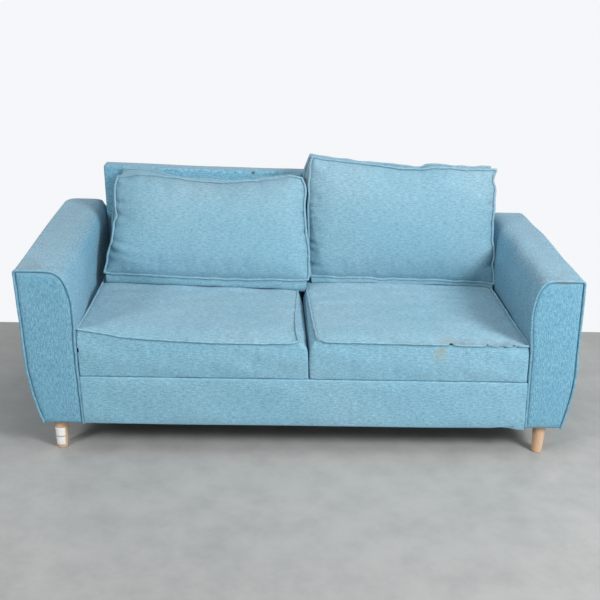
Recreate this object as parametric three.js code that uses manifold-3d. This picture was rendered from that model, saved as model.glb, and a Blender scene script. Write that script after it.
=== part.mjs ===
// A two-seat upholstered sofa with loose seat and back cushions on turned legs.
// Millimetres, +Z up. The origin is on the floor under the middle of the sofa, and the front faces -Y.
// The arms are mirrored copies, bolted to a timber seat frame that carries zigzag springs.
import * as THREE from "three";
import { mergeVertices } from "three/addons/utils/BufferGeometryUtils.js";
import Module from "manifold-3d";

const wasm = await Module();
wasm.setup();

// Driving dimensions: overall
const WIDTH = 1800; // over the arms
const DEPTH = 850; // front of the arms to the outside back
const LEG_HEIGHT = 110; // floor to the underside of the frame
const ARM_TOP = 640;
const BACK_TOP = 800;
const GAP = 0.3; // clearance between neighbouring pieces

// Arms
const ARM_WIDTH = 162; // at seat level
const ARM_TUCK = 33; // the outer side curves in by this much at the bottom
const ARM_TUCK_HEIGHT = 210;
const ARM_ROLL_WIDTH = 84; // rounding of the inner top edge
const ARM_ROLL_HEIGHT = 120;
const ARM_ROLL_TIGHTNESS = 0.22; // lower is a squarer rounding
const ARM_EDGE = 10; // radius of the outer top edge
const ARM_BEVEL = 5; // softening round the front and rear outline
const PADDING = 20; // foam and fabric over the arm timber
const ARM_REAR_WALL = 10;

// Timber
const TIMBER = 25; // thickness of the rails
const PLY = 18; // thickness of the arm boards
const RAIL_LIFT = 2; // underside of the rails above the underside of the sofa
const RAIL_HEIGHT = 150;
const STRETCHER_HEIGHT = 90;
const ARM_INNER_RAIL_LIFT = 40;
const ARM_INNER_RAIL_HEIGHT = 80;
const ARM_TOP_RAIL_HEIGHT = 30;

// Seat
const BORDER_SETBACK = 3; // front border behind the front of the arms
const BORDER_THICKNESS = 21;
const BORDER_BEVEL = 4;
const SIDE_CLEARANCE = 1; // between the arms and what stands between them
const PAD_THICKNESS = 15.3; // felt over the springs
const SPRING_WIRE = 3.8;
const SPRING_COUNT = 8;
const SPRING_PERIODS = 8;
const SPRING_WIDTH = 56;
const SPRING_LOOP = 9; // how far each bend bulges past the straight run
const SPRING_BEARING = 13; // length of spring end that lies on a rail
const REAR_RAIL_SETBACK = 85; // rear face of the rear rail ahead of the outside back
const SEAT_CUSHION_HEIGHT = 135;
const SEAT_CUSHION_CROWN = 18;
const SEAT_CUSHION_EDGE = 20;
const SEAT_CUSHION_SETBACK = 4; // behind the front of the arms
const SEAT_CUSHION_BACK_GAP = 10; // ahead of the upholstered back
const CUSHION_CLEARANCE = 2;

// Back
const BACK_TOP_DEPTH = 72; // thickness of the back at its top
const BACK_SEAT_DEPTH = 158; // thickness of the back at the seat
const BACK_EDGE = 22; // rounding of the top edges
const BACK_FOAM = 30;
const BACK_CAP = 25; // padding over the top rail and the posts' outer faces
const BACK_PANEL = 3;
const BACK_PANEL_DROP = 12; // top of the outside panel below the top of the back
const POST_WIDTH = 25;
const BACK_RAIL_HEIGHT = 40;
const BACK_RAIL_DEPTH = 42;
const LOWER_RAIL_LIFT = 20; // lower back rail above the seat deck
const STRAP_WIDTH = 60;
const STRAP_THICKNESS = 2;
const STRAP_COUNT = 4;
const DUST_COVER = 1;

// Loose back cushions: the left one has slumped and slid forward, the right one stands taller
const BACK_CUSHION_EDGE = 26;
const BACK_CUSHION_CROWN = 22;
const BACK_CUSHION_ARM_GAP = 8;
const LEFT_CUSHION = { ease: 26, height: 366, thickness: 150, lean: 23, turn: -4.5, tilt: 0 };
const RIGHT_CUSHION = { ease: 38, height: 434, thickness: 140, lean: 15, turn: 0, tilt: 1.5 };

// Legs and fastenings
const LEG_TOP_RADIUS = 23;
const LEG_FOOT_RADIUS = 17.5;
const LEG_FOOT_CHAMFER = 2;
const LEG_INSET = 52; // leg axis inside the bottom outer edge of the arm
const LEG_CLEARANCE = 2; // between a tee nut and the arm's front board
const STUD_RADIUS = 4;
const STUD_IN_LEG = 35;
const TEE_NUT_RADIUS = 10;
const TEE_NUT_FLANGE = 1.6;
const TEE_NUT_BARREL = 9;
const TEE_NUT_WALL = 1.2;
const ARM_BOLT_RADIUS = 4;
const ARM_BOLT_HEAD_RADIUS = 8;
const ARM_BOLT_HEAD = 5;
const ARM_BOLT_SETBACK = 150; // bolts from the front and from the outside back

// Places worked out from the sizes above
const FRONT = -DEPTH / 2;
const REAR = DEPTH / 2;
const ARM_INSIDE = WIDTH / 2 - ARM_WIDTH;
const ARM_OUTSIDE = WIDTH / 2;
const RAIL_BOTTOM = LEG_HEIGHT + RAIL_LIFT;
const RAIL_TOP = RAIL_BOTTOM + RAIL_HEIGHT;
const PAD_BOTTOM = RAIL_TOP + SPRING_WIRE + 2 * GAP;
const SEAT_DECK = PAD_BOTTOM + PAD_THICKNESS + GAP; // what the seat cushions lie on
const BORDER_REAR = FRONT + BORDER_SETBACK + BORDER_THICKNESS;
const FRONT_RAIL = BORDER_REAR + GAP;
const SIDE_RAIL_OUTSIDE = ARM_INSIDE - GAP;
const SIDE_RAIL_INSIDE = SIDE_RAIL_OUTSIDE - TIMBER;
const RAIL_END = SIDE_RAIL_INSIDE - GAP;
const REAR_RAIL = REAR - REAR_RAIL_SETBACK - TIMBER;
const BACK_SKIN = REAR - BACK_PANEL - GAP; // rear of the upholstered back
const POST_REAR = BACK_SKIN - GAP;
const BETWEEN_ARMS = ARM_INSIDE - SIDE_CLEARANCE;
const BACK_SLOPE = (BACK_SEAT_DEPTH - BACK_TOP_DEPTH) / (BACK_TOP - SEAT_DECK);
const LEG_X = ARM_OUTSIDE - ARM_TUCK - LEG_INSET;
const LEG_SETBACK = PADDING + PLY + LEG_CLEARANCE + TEE_NUT_RADIUS;
const LEG_Y = [["front", FRONT + LEG_SETBACK], ["rear", REAR - LEG_SETBACK]];
const BOLT_Y = [["front", FRONT + ARM_BOLT_SETBACK], ["rear", REAR - ARM_BOLT_SETBACK]];
const SIDES = [["left", -1], ["right", 1]];

const MATERIALS = {
  cover: new THREE.MeshStandardMaterial({ color: 0x74aecb, roughness: 0.95 }),
  cushion: new THREE.MeshStandardMaterial({ color: 0x88bad0, roughness: 0.95 }),
  beech: new THREE.MeshStandardMaterial({ color: 0xd8b48a, roughness: 0.5 }),
  pine: new THREE.MeshStandardMaterial({ color: 0xcfae7c, roughness: 0.75 }),
  plywood: new THREE.MeshStandardMaterial({ color: 0xbf9a66, roughness: 0.7 }),
  steel: new THREE.MeshStandardMaterial({ color: 0x9a9da1, roughness: 0.35, metalness: 1 }),
  felt: new THREE.MeshStandardMaterial({ color: 0x8f8b84, roughness: 1 }),
  webbing: new THREE.MeshStandardMaterial({ color: 0x4a4640, roughness: 0.9 }),
  lining: new THREE.MeshStandardMaterial({ color: 0x1d1d1f, roughness: 1 }),
};

// Solid geometry helpers

function toSolid(geometry) {
  const bare = geometry.clone();
  bare.deleteAttribute("normal");
  bare.deleteAttribute("uv");
  const merged = mergeVertices(bare, 1e-4);
  const vertProperties = merged.getAttribute("position").array;
  const triVerts = new Uint32Array(merged.index.array);
  return new wasm.Manifold(new wasm.Mesh({ numProp: 3, vertProperties, triVerts }));
}

function toGeometry(manifold) {
  const mesh = manifold.getMesh();
  const geometry = new THREE.BufferGeometry();
  geometry.setAttribute("position", new THREE.BufferAttribute(mesh.vertProperties, 3));
  geometry.setIndex(new THREE.BufferAttribute(mesh.triVerts, 1));
  geometry.computeVertexNormals();
  return geometry;
}

function cut(geometry, ...tools) {
  const whole = tools.reduce((left, tool) => left.subtract(toSolid(tool)), toSolid(geometry));
  return toGeometry(whole);
}

function slab([x0, x1], [y0, y1], [z0, z1]) {
  const geometry = new THREE.BoxGeometry(x1 - x0, y1 - y0, z1 - z0);
  return geometry.translate((x0 + x1) / 2, (y0 + y1) / 2, (z0 + z1) / 2);
}

// A profile drawn in X and Z, swept along Y
function sweepY(shape, [y0, y1], bevel = 0) {
  const geometry = new THREE.ExtrudeGeometry(shape, {
    depth: y1 - y0 - 2 * bevel,
    bevelEnabled: bevel > 0,
    bevelSize: bevel,
    bevelThickness: bevel,
    bevelOffset: -bevel,
    bevelSegments: 2,
    curveSegments: 10,
  });
  return geometry.rotateX(Math.PI / 2).translate(0, y1 - bevel, 0);
}

// A profile drawn in Y and Z, swept along X
function sweepX(shape, [x0, x1]) {
  const geometry = new THREE.ExtrudeGeometry(shape, { depth: x1 - x0, bevelEnabled: false, curveSegments: 8 });
  const axes = [new THREE.Vector3(0, 1, 0), new THREE.Vector3(0, 0, 1), new THREE.Vector3(1, 0, 0)];
  return geometry.applyMatrix4(new THREE.Matrix4().makeBasis(...axes)).translate(x0, 0, 0);
}

function outline(...points) {
  return new THREE.Shape(points.map(([a, b]) => new THREE.Vector2(a, b)));
}

// A profile of radius and height, turned about Z
function turned(points, segments = 12) {
  const profile = points.map(([radius, height]) => new THREE.Vector2(radius, height));
  return new THREE.LatheGeometry(profile, segments).rotateX(Math.PI / 2);
}

function rod(radius, [z0, z1], segments = 12) {
  return turned([[0, z0], [radius, z0], [radius, z1], [0, z1]], segments);
}

function alongX(geometry, x, y, z) {
  return geometry.rotateY(Math.PI / 2).translate(x, y, z);
}

function piece(parent, name, geometry, material) {
  const mesh = new THREE.Mesh(geometry, material);
  mesh.name = name;
  parent.add(mesh);
  return mesh;
}

// Loose cushions: a box with rounded edges whose broad faces are crowned

function cushionGeometry({ width, depth, height, edge, crown }) {
  const geometry = new THREE.BoxGeometry(width, depth, height, 10, 8, 4);
  const position = geometry.getAttribute("position");
  const half = new THREE.Vector3(width / 2, depth / 2, height / 2);
  const core = half.clone().subScalar(edge);
  const point = new THREE.Vector3();
  const inner = new THREE.Vector3();
  for (let i = 0; i < position.count; i += 1) {
    point.fromBufferAttribute(position, i);
    const dome = cushionDome(point.x / half.x, point.y / half.y) * crown;
    inner.copy(point).clamp(core.clone().negate(), core);
    const reach = point.clone().sub(inner);
    if (reach.lengthSq() > 0) point.copy(inner).addScaledVector(reach.normalize(), edge);
    point.z += (dome * point.z) / half.z;
    position.setXYZ(i, point.x, point.y, point.z);
  }
  return geometry;
}

function cushionDome(u, v) {
  return Math.max(0, (1 - u * u) * (1 - v * v));
}

// Arms

function armProfile(inset) {
  const inside = ARM_INSIDE + inset;
  const outside = ARM_OUTSIDE - inset;
  const top = ARM_TOP - inset;
  const tuckTop = LEG_HEIGHT + ARM_TUCK_HEIGHT;
  const shape = new THREE.Shape();
  shape.moveTo(inside, LEG_HEIGHT);
  shape.lineTo(outside - ARM_TUCK, LEG_HEIGHT);
  shape.quadraticCurveTo(outside, LEG_HEIGHT + ARM_TUCK_HEIGHT / 2, outside, tuckTop);
  shape.lineTo(outside, top - ARM_EDGE);
  shape.quadraticCurveTo(outside, top, outside - ARM_EDGE, top);
  shape.lineTo(inside + ARM_ROLL_WIDTH, top);
  shape.bezierCurveTo(
    inside + ARM_ROLL_WIDTH * ARM_ROLL_TIGHTNESS, top,
    inside, top - ARM_ROLL_HEIGHT * ARM_ROLL_TIGHTNESS,
    inside, top - ARM_ROLL_HEIGHT,
  );
  shape.lineTo(inside, LEG_HEIGHT);
  return shape;
}

const ARM_CAVITY = [FRONT + PADDING, REAR - ARM_REAR_WALL];
const ARM_TIMBER = [ARM_CAVITY[0] + GAP, ARM_CAVITY[1] - GAP];
const ARM_BOARD = [ARM_INSIDE + PADDING + GAP, ARM_OUTSIDE - ARM_TUCK - PADDING - GAP];
const ARM_BOARD_TOP = LEG_HEIGHT + TIMBER;
const ARM_BOLT_Z = LEG_HEIGHT + ARM_INNER_RAIL_LIFT + ARM_INNER_RAIL_HEIGHT / 2;
const BELOW_ARM = LEG_HEIGHT - 2 * TIMBER;

function armBoltHoles() {
  const reach = [SIDE_RAIL_INSIDE - TIMBER, ARM_INSIDE + PADDING + 2 * TIMBER];
  return BOLT_Y.map(([, y]) => alongX(rod(ARM_BOLT_RADIUS + GAP, reach), 0, y, ARM_BOLT_Z));
}

function armCover() {
  const whole = sweepY(armProfile(0), [FRONT, REAR], ARM_BEVEL);
  const hollow = sweepY(armProfile(PADDING), ARM_CAVITY);
  const mouth = slab([ARM_INSIDE + PADDING, ARM_BOARD[1] + GAP], ARM_CAVITY, [BELOW_ARM, ARM_BOARD_TOP]);
  return cut(whole, hollow, mouth, ...armBoltHoles());
}

function armEndBoard(y) {
  const board = sweepY(armProfile(PADDING + GAP), y);
  const foot = slab([0, WIDTH], [FRONT, REAR], [BELOW_ARM, ARM_BOARD_TOP + GAP]);
  return cut(board, foot);
}

function armBottomBoard() {
  const board = slab(ARM_BOARD, ARM_TIMBER, [LEG_HEIGHT, ARM_BOARD_TOP]);
  const hole = TEE_NUT_BORE + TEE_NUT_WALL + GAP;
  const holes = LEG_Y.map(([, y]) => rod(hole, [BELOW_ARM, ARM_TOP]).translate(LEG_X, y, 0));
  return cut(board, ...holes);
}

function armBolt(y) {
  const head = SIDE_RAIL_INSIDE - GAP;
  const tip = ARM_INSIDE + PADDING + TIMBER + GAP;
  const bolt = turned([
    [0, head - ARM_BOLT_HEAD],
    [ARM_BOLT_HEAD_RADIUS, head - ARM_BOLT_HEAD],
    [ARM_BOLT_HEAD_RADIUS, head],
    [ARM_BOLT_RADIUS, head],
    [ARM_BOLT_RADIUS, tip],
    [0, tip],
  ]);
  return alongX(bolt, 0, y, ARM_BOLT_Z);
}

function makeArm(side, sign) {
  const arm = new THREE.Group();
  arm.scale.x = sign;
  const frontBoard = [ARM_TIMBER[0], ARM_TIMBER[0] + PLY];
  const rearBoard = [ARM_TIMBER[1] - PLY, ARM_TIMBER[1]];
  const between = [frontBoard[1] + GAP, rearBoard[0] - GAP];
  const top = ARM_TOP - PADDING - GAP;
  const topRail = [ARM_INSIDE + PADDING + ARM_ROLL_WIDTH, ARM_OUTSIDE - PADDING - GAP - ARM_EDGE];
  const innerRail = ARM_INSIDE + PADDING + GAP;
  const innerRailZ = LEG_HEIGHT + ARM_INNER_RAIL_LIFT;

  piece(arm, `arm_${side}_cover`, armCover(), MATERIALS.cover);
  piece(arm, `arm_${side}_front_board`, armEndBoard(frontBoard), MATERIALS.plywood);
  piece(arm, `arm_${side}_rear_board`, armEndBoard(rearBoard), MATERIALS.plywood);
  piece(arm, `arm_${side}_bottom_board`, armBottomBoard(), MATERIALS.pine);
  piece(
    arm,
    `arm_${side}_top_rail`,
    slab(topRail, between, [top - ARM_TOP_RAIL_HEIGHT, top]),
    MATERIALS.pine,
  );
  piece(
    arm,
    `arm_${side}_inner_rail`,
    cut(
      slab([innerRail, innerRail + TIMBER - GAP], between, [innerRailZ, innerRailZ + ARM_INNER_RAIL_HEIGHT]),
      ...armBoltHoles(),
    ),
    MATERIALS.pine,
  );
  BOLT_Y.forEach(([end, y]) => piece(arm, `arm_bolt_${end}_${side}`, armBolt(y), MATERIALS.steel));
  return arm;
}

// Legs, each on a stud that screws into a tee nut in the arm's bottom board

const TEE_NUT_BORE = STUD_RADIUS + GAP;
const LEG_TOP = LEG_HEIGHT - GAP;
const TEE_NUT_SEAT = ARM_BOARD_TOP + GAP;

function legGeometry() {
  const leg = turned([
    [0, 0],
    [LEG_FOOT_RADIUS - LEG_FOOT_CHAMFER, 0],
    [LEG_FOOT_RADIUS, LEG_FOOT_CHAMFER],
    [LEG_TOP_RADIUS, LEG_TOP],
    [0, LEG_TOP],
  ], 24);
  return cut(leg, rod(STUD_RADIUS + GAP, [LEG_TOP - STUD_IN_LEG - GAP, LEG_HEIGHT + TIMBER]));
}

function teeNutGeometry() {
  const barrel = TEE_NUT_BORE + TEE_NUT_WALL;
  return turned([
    [TEE_NUT_BORE, TEE_NUT_SEAT - TEE_NUT_BARREL],
    [barrel, TEE_NUT_SEAT - TEE_NUT_BARREL],
    [barrel, TEE_NUT_SEAT],
    [TEE_NUT_RADIUS, TEE_NUT_SEAT],
    [TEE_NUT_RADIUS, TEE_NUT_SEAT + TEE_NUT_FLANGE],
    [TEE_NUT_BORE, TEE_NUT_SEAT + TEE_NUT_FLANGE],
    [TEE_NUT_BORE, TEE_NUT_SEAT - TEE_NUT_BARREL],
  ]);
}

function makeLegs() {
  const legs = new THREE.Group();
  for (const [side, sign] of SIDES) {
    for (const [end, y] of LEG_Y) {
      const leg = new THREE.Group();
      leg.position.set(sign * LEG_X, y, 0);
      piece(leg, `leg_${end}_${side}`, legGeometry(), MATERIALS.beech);
      const stud = rod(STUD_RADIUS, [LEG_TOP - STUD_IN_LEG, TEE_NUT_SEAT + TEE_NUT_FLANGE]);
      piece(leg, `leg_stud_${end}_${side}`, stud, MATERIALS.steel);
      piece(leg, `leg_tee_nut_${end}_${side}`, teeNutGeometry(), MATERIALS.steel);
      legs.add(leg);
    }
  }
  return legs;
}

// Seat frame, springs and deck

class ZigzagSpring extends THREE.Curve {
  constructor(start, end, height) {
    super();
    Object.assign(this, { start, end, height });
  }

  getPoint(t, target = new THREE.Vector3()) {
    const phase = 2 * Math.PI * SPRING_PERIODS * t;
    const swing = (SPRING_WIDTH / 2) * Math.sin(phase);
    const run = this.start + (this.end - this.start) * t - SPRING_LOOP * Math.sin(2 * phase);
    return target.set(swing, run, this.height);
  }
}

function springGeometry() {
  const start = FRONT_RAIL + TIMBER - SPRING_BEARING;
  const end = REAR_RAIL + SPRING_BEARING;
  const height = RAIL_TOP + GAP + SPRING_WIRE / 2;
  const section = new THREE.Shape().absarc(0, 0, SPRING_WIRE / 2, 0, 2 * Math.PI);
  return new THREE.ExtrudeGeometry(new THREE.Shape(section.getSpacedPoints(5).slice(0, 5)), {
    extrudePath: new ZigzagSpring(start, end, height),
    steps: 8 * SPRING_PERIODS,
  });
}

function makeSeatFrame() {
  const seat = new THREE.Group();
  const railZ = [RAIL_BOTTOM, RAIL_TOP];
  const railX = [-RAIL_END, RAIL_END];
  const stretcherY = [FRONT_RAIL + TIMBER + GAP, REAR_RAIL - GAP];
  const border = outline(
    [-BETWEEN_ARMS, LEG_HEIGHT],
    [BETWEEN_ARMS, LEG_HEIGHT],
    [BETWEEN_ARMS, SEAT_DECK - GAP],
    [-BETWEEN_ARMS, SEAT_DECK - GAP],
  );

  piece(seat, "front_border", sweepY(border, [FRONT + BORDER_SETBACK, BORDER_REAR], BORDER_BEVEL), MATERIALS.cover);
  piece(seat, "front_rail", slab(railX, [FRONT_RAIL, FRONT_RAIL + TIMBER], railZ), MATERIALS.pine);
  piece(seat, "rear_rail", slab(railX, [REAR_RAIL, REAR_RAIL + TIMBER], railZ), MATERIALS.pine);
  piece(
    seat,
    "centre_stretcher",
    slab([-TIMBER / 2, TIMBER / 2], stretcherY, [RAIL_BOTTOM, RAIL_BOTTOM + STRETCHER_HEIGHT]),
    MATERIALS.pine,
  );
  for (const [side, sign] of SIDES) {
    const rail = slab([SIDE_RAIL_INSIDE, SIDE_RAIL_OUTSIDE], [FRONT_RAIL, POST_REAR], railZ);
    const mirrored = new THREE.Group();
    mirrored.scale.x = sign;
    piece(mirrored, `side_rail_${side}`, cut(rail, ...armBoltHoles()), MATERIALS.pine);
    seat.add(mirrored);
  }
  const pitch = (2 * RAIL_END) / SPRING_COUNT;
  for (let i = 0; i < SPRING_COUNT; i += 1) {
    const spring = piece(seat, `seat_spring_${i + 1}`, springGeometry(), MATERIALS.steel);
    spring.position.x = (i + 0.5) * pitch - RAIL_END;
  }
  piece(
    seat,
    "seat_deck_pad",
    slab([-BETWEEN_ARMS, BETWEEN_ARMS], [FRONT_RAIL, REAR_RAIL + TIMBER], [PAD_BOTTOM, PAD_BOTTOM + PAD_THICKNESS]),
    MATERIALS.felt,
  );
  piece(
    seat,
    "dust_cover",
    slab([-BETWEEN_ARMS, BETWEEN_ARMS], [FRONT_RAIL, POST_REAR], [RAIL_BOTTOM - GAP - DUST_COVER, RAIL_BOTTOM - GAP]),
    MATERIALS.lining,
  );
  return seat;
}

// Back

function backFace(z) {
  return REAR - BACK_SEAT_DEPTH + (z - SEAT_DECK) * BACK_SLOPE;
}

function backCover() {
  const top = new THREE.Shape();
  top.moveTo(backFace(SEAT_DECK), SEAT_DECK);
  top.lineTo(BACK_SKIN, SEAT_DECK);
  top.lineTo(BACK_SKIN, BACK_TOP - BACK_EDGE);
  top.quadraticCurveTo(BACK_SKIN, BACK_TOP, BACK_SKIN - BACK_EDGE, BACK_TOP);
  top.lineTo(backFace(BACK_TOP) + BACK_EDGE, BACK_TOP);
  top.quadraticCurveTo(backFace(BACK_TOP), BACK_TOP, backFace(BACK_TOP - BACK_EDGE), BACK_TOP - BACK_EDGE);
  top.lineTo(backFace(SEAT_DECK), SEAT_DECK);
  const hollow = outline(
    [backFace(BELOW_ARM) + BACK_FOAM, BELOW_ARM],
    [REAR + BACK_FOAM, BELOW_ARM],
    [REAR + BACK_FOAM, BACK_TOP - BACK_CAP],
    [backFace(BACK_TOP - BACK_CAP) + BACK_FOAM, BACK_TOP - BACK_CAP],
  );
  const inside = POST_OUTSIDE + GAP;
  return cut(sweepX(top, [-BETWEEN_ARMS, BETWEEN_ARMS]), sweepX(hollow, [-inside, inside]));
}

const POST_OUTSIDE = SIDE_RAIL_INSIDE - GAP;
const POST_INSIDE = POST_OUTSIDE - POST_WIDTH;
const STRAP_FACE = BACK_FOAM + GAP;
const POST_FACE = STRAP_FACE + STRAP_THICKNESS + GAP;
const POST_TOP = BACK_TOP - BACK_CAP - GAP;
const LOWER_RAIL = [SEAT_DECK + LOWER_RAIL_LIFT, SEAT_DECK + LOWER_RAIL_LIFT + BACK_RAIL_HEIGHT];
const UPPER_RAIL = [POST_TOP - BACK_RAIL_HEIGHT, POST_TOP];

// An end post is notched to stand behind the rear rail and lean over the seat deck
function endPost() {
  const notch = SEAT_DECK + GAP;
  return outline(
    [REAR_RAIL + TIMBER + GAP, RAIL_BOTTOM],
    [POST_REAR, RAIL_BOTTOM],
    [POST_REAR, POST_TOP],
    [backFace(POST_TOP) + POST_FACE, POST_TOP],
    [backFace(notch) + POST_FACE, notch],
    [REAR_RAIL + TIMBER + GAP, notch],
  );
}

function sloped([z0, z1], face, thickness) {
  return outline(
    [backFace(z0) + face, z0],
    [backFace(z0) + face + thickness, z0],
    [backFace(z1) + face + thickness, z1],
    [backFace(z1) + face, z1],
  );
}

function makeBack() {
  const back = new THREE.Group();
  const railX = [-(POST_INSIDE - GAP), POST_INSIDE - GAP];
  const upperDepth = POST_REAR - backFace(UPPER_RAIL[1]) - POST_FACE;
  const centre = [LOWER_RAIL[1] + GAP, UPPER_RAIL[0] - GAP];
  piece(back, "back_cover", backCover(), MATERIALS.cover);
  for (const [side, sign] of SIDES) {
    const mirrored = new THREE.Group();
    mirrored.scale.x = sign;
    piece(mirrored, `back_post_${side}`, sweepX(endPost(), [POST_INSIDE, POST_OUTSIDE]), MATERIALS.pine);
    back.add(mirrored);
  }
  const upperRail = sloped(UPPER_RAIL, POST_FACE, Math.min(BACK_RAIL_DEPTH, upperDepth));
  piece(back, "back_top_rail", sweepX(upperRail, railX), MATERIALS.pine);
  piece(back, "back_lower_rail", sweepX(sloped(LOWER_RAIL, POST_FACE, BACK_RAIL_DEPTH), railX), MATERIALS.pine);
  piece(
    back,
    "back_centre_post",
    sweepX(sloped(centre, POST_FACE, Math.min(BACK_RAIL_DEPTH, upperDepth)), [-POST_WIDTH / 2, POST_WIDTH / 2]),
    MATERIALS.pine,
  );
  const rise = (UPPER_RAIL[0] - LOWER_RAIL[1]) / STRAP_COUNT;
  for (let i = 0; i < STRAP_COUNT; i += 1) {
    const middle = LOWER_RAIL[1] + (i + 0.5) * rise;
    const strap = sloped([middle - STRAP_WIDTH / 2, middle + STRAP_WIDTH / 2], STRAP_FACE, STRAP_THICKNESS);
    const strapX = [-POST_OUTSIDE, POST_OUTSIDE];
    piece(back, `back_webbing_strap_${i + 1}`, sweepX(strap, strapX), MATERIALS.webbing);
  }
  const panelTop = BACK_TOP - BACK_PANEL_DROP;
  piece(
    back,
    "outside_back_panel",
    slab([-BETWEEN_ARMS, BETWEEN_ARMS], [REAR - BACK_PANEL, REAR], [LEG_HEIGHT, panelTop]),
    MATERIALS.cover,
  );
  return back;
}

// Loose cushions

const SEAT_CUSHION = {
  width: ARM_INSIDE - 1.5 * CUSHION_CLEARANCE,
  depth: DEPTH - BACK_SEAT_DEPTH - SEAT_CUSHION_SETBACK - SEAT_CUSHION_BACK_GAP,
  height: SEAT_CUSHION_HEIGHT,
  edge: SEAT_CUSHION_EDGE,
  crown: SEAT_CUSHION_CROWN,
};
const SEAT_CUSHION_X = (SEAT_CUSHION.width + CUSHION_CLEARANCE) / 2;
const SEAT_CUSHION_Y = FRONT + SEAT_CUSHION_SETBACK + SEAT_CUSHION.depth / 2;
const SEAT_CUSHION_Z = SEAT_DECK + SEAT_CUSHION.height / 2;

// The seat cushion's underside is flat where it lies on the deck
function seatCushionGeometry() {
  const geometry = cushionGeometry(SEAT_CUSHION);
  const position = geometry.getAttribute("position");
  const floor = -SEAT_CUSHION.height / 2;
  for (let i = 0; i < position.count; i += 1) {
    position.setZ(i, Math.max(position.getZ(i), floor));
  }
  return geometry;
}

// Lets a cushion down onto the seat and back against the sofa's back, until each is one gap away
function settle(cushion, seat, back) {
  const rounds = 30;
  let resting = cushion;
  for (let round = 0; round < rounds; round += 1) {
    resting = resting.translate(0, 0, GAP - resting.minGap(seat, DEPTH));
    resting = resting.translate(0, resting.minGap(back, DEPTH) - GAP, 0);
  }
  return resting;
}

// Leans a back cushion beside its arm and settles it. Its ease is how much narrower it is than half the seat.
function backCushionGeometry({ ease, height, thickness, lean, turn, tilt }, sign) {
  const geometry = cushionGeometry({
    width: ARM_INSIDE - ease,
    depth: height,
    height: thickness,
    edge: BACK_CUSHION_EDGE,
    crown: BACK_CUSHION_CROWN,
  });
  const radians = THREE.MathUtils.degToRad;
  geometry.rotateX(Math.PI / 2).rotateY(radians(tilt)).rotateX(-radians(lean)).rotateZ(radians(turn));
  geometry.computeBoundingBox();
  const { min, max } = geometry.boundingBox;
  const end = ARM_INSIDE - BACK_CUSHION_ARM_GAP;
  geometry.translate(sign > 0 ? end - max.x : -end - min.x, SEAT_CUSHION_Y - max.y, BACK_TOP - min.z);
  const seat = toSolid(seatCushionGeometry()).translate(sign * SEAT_CUSHION_X, SEAT_CUSHION_Y, SEAT_CUSHION_Z);
  return toGeometry(settle(toSolid(geometry), seat, toSolid(backCover())));
}

function makeCushions() {
  const cushions = new THREE.Group();
  for (const [side, sign] of SIDES) {
    const seat = piece(cushions, `seat_cushion_${side}`, seatCushionGeometry(), MATERIALS.cushion);
    seat.position.set(sign * SEAT_CUSHION_X, SEAT_CUSHION_Y, SEAT_CUSHION_Z);
  }
  piece(cushions, "back_cushion_left", backCushionGeometry(LEFT_CUSHION, -1), MATERIALS.cushion);
  piece(cushions, "back_cushion_right", backCushionGeometry(RIGHT_CUSHION, 1), MATERIALS.cushion);
  return cushions;
}

const sofa = new THREE.Group();
sofa.name = "sofa";
SIDES.forEach(([side, sign]) => sofa.add(makeArm(side, sign)));
sofa.add(makeLegs(), makeSeatFrame(), makeBack(), makeCushions());

export default sofa;
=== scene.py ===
"""A worn two-seat sofa: upholstery, piping, damage, materials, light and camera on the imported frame."""

import math

import bmesh
import bpy
import numpy as np
from mathutils import Matrix, Vector
from mathutils.bvhtree import BVHTree
from mathutils.kdtree import KDTree


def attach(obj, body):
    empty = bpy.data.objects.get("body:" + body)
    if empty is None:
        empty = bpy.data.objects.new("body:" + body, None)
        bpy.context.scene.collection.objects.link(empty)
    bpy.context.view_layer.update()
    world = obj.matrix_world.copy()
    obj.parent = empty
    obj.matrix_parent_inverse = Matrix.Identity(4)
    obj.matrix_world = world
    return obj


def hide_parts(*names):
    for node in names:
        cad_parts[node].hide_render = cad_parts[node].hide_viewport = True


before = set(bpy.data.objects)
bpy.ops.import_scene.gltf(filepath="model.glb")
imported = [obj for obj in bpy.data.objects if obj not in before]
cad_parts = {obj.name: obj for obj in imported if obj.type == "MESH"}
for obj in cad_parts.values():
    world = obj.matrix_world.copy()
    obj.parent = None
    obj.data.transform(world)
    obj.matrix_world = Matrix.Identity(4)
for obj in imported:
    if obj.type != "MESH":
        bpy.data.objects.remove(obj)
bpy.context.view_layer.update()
scene = bpy.context.scene

# All sizes are in metres, in the frame of the CAD model: X to the right, Y to the back, Z up.
LEAN = -0.052
LEAN_LEVEL = 0.285
FRONT = -0.425
REAR = 0.425
BASE = 0.11
ARM_INNER = 0.738
ARM_OUTER = 0.9
ARM_TOP = 0.644
ROLL_LEVEL = 0.525
ARM_COLUMNS = 24
BACK_END = 0.737
BACK_TOP = 0.8
OUTSIDE_TOP = 0.786
SEAT_LEVEL = 0.2822
PIPING = 0.0046
SEAT_PIPING = 0.004
ARM_PIPING = 0.0042
THREAD_PITCH = 0.0024
LEG_X = -0.815
LEG_Y = -0.375
LEG_FOOT = 0.0175
LEG_HEAD = 0.023
LEG_HEIGHT = 0.1097


# Shapes

def ramp(low, high, value):
    """0 below low, 1 above high and a soft rise between them."""
    t = np.clip((value - low) / (high - low), 0.0, 1.0)
    return t * t * (3.0 - 2.0 * t)


def ripple(points, size, seed):
    """Smooth uneven values from -1 to 1, with features of about the given size."""
    total = np.zeros(points.shape[:-1])
    for k in range(5):
        turn = seed * 1.7 + k * 2.4
        way = np.array([math.cos(turn), math.sin(turn * 1.3), math.sin(turn + 0.8)])
        total += np.sin(points @ way * (math.tau / size) * (0.6 + 0.2 * k) + seed * 3.1 + k * 1.9)
    return total / 3.2


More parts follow.
